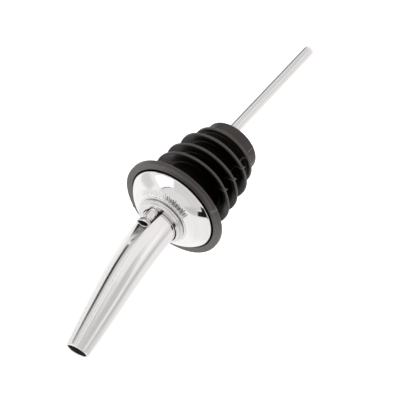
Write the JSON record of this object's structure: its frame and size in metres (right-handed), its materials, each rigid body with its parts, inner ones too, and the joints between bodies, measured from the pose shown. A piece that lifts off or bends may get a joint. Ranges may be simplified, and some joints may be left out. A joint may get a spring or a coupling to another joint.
{
  "type": "liquor pour spout",
  "caption": "Bent tapered steel pour spout with a long straight breather tube, held in a finned rubber bottle stopper.",
  "frame": {"origin": "centre of the flange's underside, where the stopper seats on the bottle's rim", "axes": "+Z along the stopper's axis out of the bottle, towards the spout; +X is the side the spout bends to, with the breather tube on -X"},
  "size_m": [0.032, 0.0328, 0.1225],
  "materials": {
    "black_rubber": "satin moulded",
    "sleeve_steel": "drawn",
    "polished_disc": "mirror polished",
    "polished_collar": "mirror polished",
    "polished_spout": "polished along its length",
    "tube_steel": "drawn and polished"
  },
  "bodies": {
    "stopper": {"stopper": "black_rubber"},
    "washer": {"backing_washer": "sleeve_steel"},
    "pourer": {"inlet_sleeve": "sleeve_steel", "cover_disc": "polished_disc", "collar": "polished_collar", "pour_spout": "polished_spout", "breather_tube": "tube_steel"}
  },
  "joints": [
    {"name": "pourer_pull", "type": "slide", "parent": "stopper", "child": "washer", "axis": [0, 0, 1], "range_m": [0, 0.073]},
    {"name": "pourer_twist", "type": "hinge", "parent": "washer", "child": "pourer", "pos_m": [0, 0, 0.0019], "axis": [0, 0, 1], "continuous": true}
  ]
}
